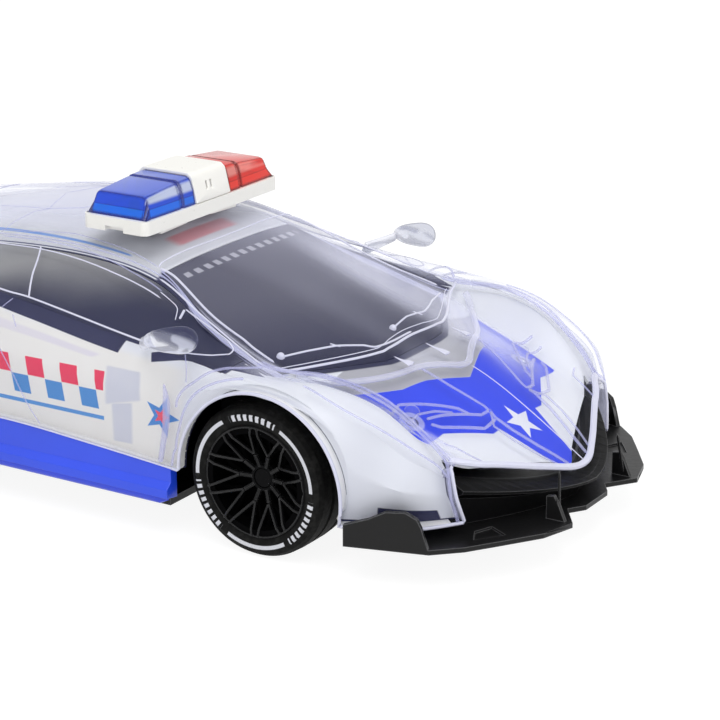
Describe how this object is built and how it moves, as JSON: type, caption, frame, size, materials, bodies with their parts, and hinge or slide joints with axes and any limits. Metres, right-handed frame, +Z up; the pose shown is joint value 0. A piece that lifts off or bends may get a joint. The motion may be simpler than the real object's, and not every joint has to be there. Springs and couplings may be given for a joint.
{
  "type": "toy police car",
  "caption": "Toy police car with a clear moulded body over a white liner, roof light bar, steering front wheels and a geared rear axle.",
  "frame": {"origin": "on the ground under the middle of the car's length and width, wheels straight", "axes": "+X ahead, +Y to the car's left, +Z up"},
  "size_m": [0.282, 0.1266, 0.0825],
  "materials": {
    "black_plastic": "satin",
    "clear_plastic": "gloss",
    "white_liner": "gloss with print",
    "smoked_film": "gloss",
    "blue_plastic": "gloss",
    "white_plastic": "gloss",
    "blue_clear": "gloss",
    "red_clear": "gloss",
    "board": "gloss",
    "cell": "gloss",
    "bright_metal": "polished",
    "dark_plastic": "matte",
    "pale_plastic": "satin",
    "steel": "satin",
    "brass": "satin",
    "rim_plastic": "satin",
    "tyre": "matte"
  },
  "bodies": {
    "chassis": {"chassis_tray": "black_plastic", "front_bumper": "black_plastic", "front_grille": "black_plastic", "rear_bumper": "black_plastic", "body_shell": "clear_plastic", "body_liner": "white_liner", "windscreen_film": "smoked_film", "left_window_film": "smoked_film", "right_window_film": "smoked_film", "left_side_skirt": "blue_plastic", "right_side_skirt": "blue_plastic", "left_mirror": "clear_plastic", "right_mirror": "clear_plastic", "left_tail_light": "red_clear", "right_tail_light": "red_clear", "light_bar_base": "white_plastic", "light_bar_bridge": "white_plastic", "blue_lens": "blue_clear", "red_lens": "red_clear", "light_bar_board": "board", "battery_door": "black_plastic", "battery_cells": "cell", "battery_contacts": "bright_metal", "gearbox_housing": "dark_plastic", "gearbox_cover": "dark_plastic", "drive_motor": "steel", "circuit_board": "board", "steering_unit": "dark_plastic", "steering_cover": "dark_plastic", "idler_shaft": "steel", "switch_body": "steel", "body_posts": "clear_plastic", "body_screws": "steel"},
    "lever": {"steering_lever": "pale_plastic"},
    "tie_rod": {"tie_rod": "pale_plastic"},
    "left_front": {"left_knuckle": "dark_plastic", "left_wheel_screw": "steel"},
    "right_front": {"right_knuckle": "dark_plastic", "right_wheel_screw": "steel"},
    "left_wheel": {"front_left_tyre": "tyre", "front_left_rim": "rim_plastic"},
    "right_wheel": {"front_right_tyre": "tyre", "front_right_rim": "rim_plastic"},
    "rear_wheels": {"rear_left_tyre": "tyre", "rear_right_tyre": "tyre", "rear_left_rim": "rim_plastic", "rear_right_rim": "rim_plastic", "rear_axle": "steel", "axle_gear": "pale_plastic"},
    "idler": {"idler_gear": "pale_plastic"},
    "pinion": {"motor_pinion": "brass"},
    "switch_knob": {"power_switch": "dark_plastic"}
  },
  "joints": [
    {"name": "left_steer", "type": "hinge", "parent": "chassis", "child": "left_front", "pos_m": [0.071, 0.0345, 0.02], "axis": [0, 0, 1], "range_deg": [-15, 15], "stiffness_Nm_per_rad": 0.02},
    {"name": "right_steer", "type": "hinge", "parent": "chassis", "child": "right_front", "pos_m": [0.071, -0.0345, 0.02], "axis": [0, 0, 1], "range_deg": [-15, 15]},
    {"name": "tie_rod_slide", "type": "slide", "parent": "chassis", "child": "tie_rod", "axis": [0, 1, 0], "range_m": [-0.00285, 0.00285]},
    {"name": "lever_turn", "type": "hinge", "parent": "chassis", "child": "lever", "pos_m": [0.046, 0, 0.0246], "axis": [0, 0, 1], "range_deg": [-11.74, 11.74]},
    {"name": "left_wheel_spin", "type": "hinge", "parent": "left_front", "child": "left_wheel", "pos_m": [0.071, 0.047, 0.02], "axis": [0, 1, 0], "continuous": true},
    {"name": "right_wheel_spin", "type": "hinge", "parent": "right_front", "child": "right_wheel", "pos_m": [0.071, -0.047, 0.02], "axis": [0, 1, 0], "continuous": true},
    {"name": "rear_spin", "type": "hinge", "parent": "chassis", "child": "rear_wheels", "pos_m": [-0.081, 0, 0.02], "axis": [0, 1, 0], "continuous": true},
    {"name": "idler_spin", "type": "hinge", "parent": "chassis", "child": "idler", "pos_m": [-0.07148, 0.018, 0.02444], "axis": [0, 1, 0], "continuous": true},
    {"name": "pinion_spin", "type": "hinge", "parent": "chassis", "child": "pinion", "pos_m": [-0.0617, 0.02, 0.02652], "axis": [0, 1, 0], "continuous": true},
    {"name": "power_slide", "type": "slide", "parent": "chassis", "child": "switch_knob", "axis": [1, 0, 0], "range_m": [0, 0.004]}
  ],
  "couplings": [
    {"joint": "right_steer", "follows": "left_steer", "ratio": 1},
    {"joint": "tie_rod_slide", "follows": "left_steer", "m_per_rad": -0.010875},
    {"joint": "lever_turn", "follows": "left_steer", "ratio": -0.782},
    {"joint": "idler_spin", "follows": "rear_spin", "ratio": -3.2},
    {"joint": "pinion_spin", "follows": "rear_spin", "ratio": 12.8}
  ]
}
